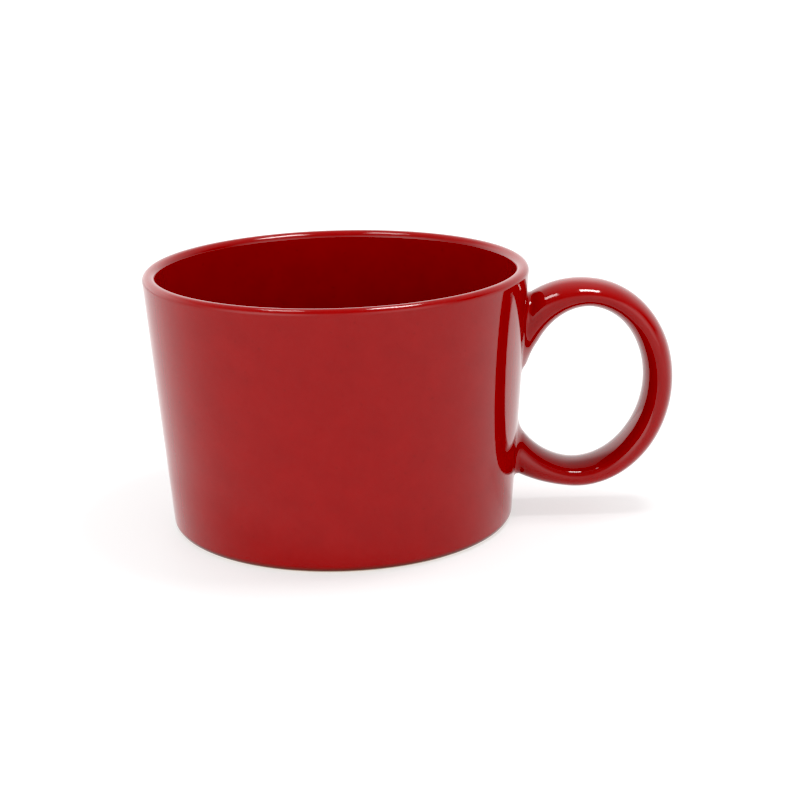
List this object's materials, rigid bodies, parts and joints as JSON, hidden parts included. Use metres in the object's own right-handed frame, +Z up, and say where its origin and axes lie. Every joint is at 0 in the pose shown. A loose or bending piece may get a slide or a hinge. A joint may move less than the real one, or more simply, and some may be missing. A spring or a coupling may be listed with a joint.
{
  "type": "cup",
  "caption": "Low wide glazed ceramic cup, slightly narrower at the foot, with an oval ring handle on one side, for hot drinks.",
  "frame": {"origin": "centre of the foot ring, on the plane that the cup stands on", "axes": "+Z up along the axis of the cup, +X through the handle"},
  "size_m": [0.135, 0.0978, 0.0663],
  "materials": {
    "clay": "fired, bare and slightly rough at the foot ring",
    "slip": "fired slip, smoothed with a wet sponge",
    "outer_glaze": "glossy deep-red glaze",
    "inner_glaze": "glossy deep-red glaze",
    "base_glaze": "glossy deep-red glaze"
  },
  "bodies": {
    "root": {"cup_body": "clay", "ring_handle": "clay", "upper_slip_joint": "slip", "lower_slip_joint": "slip", "outer_glaze": "outer_glaze", "inner_glaze": "inner_glaze", "base_glaze": "base_glaze"}
  },
  "joints": []
}
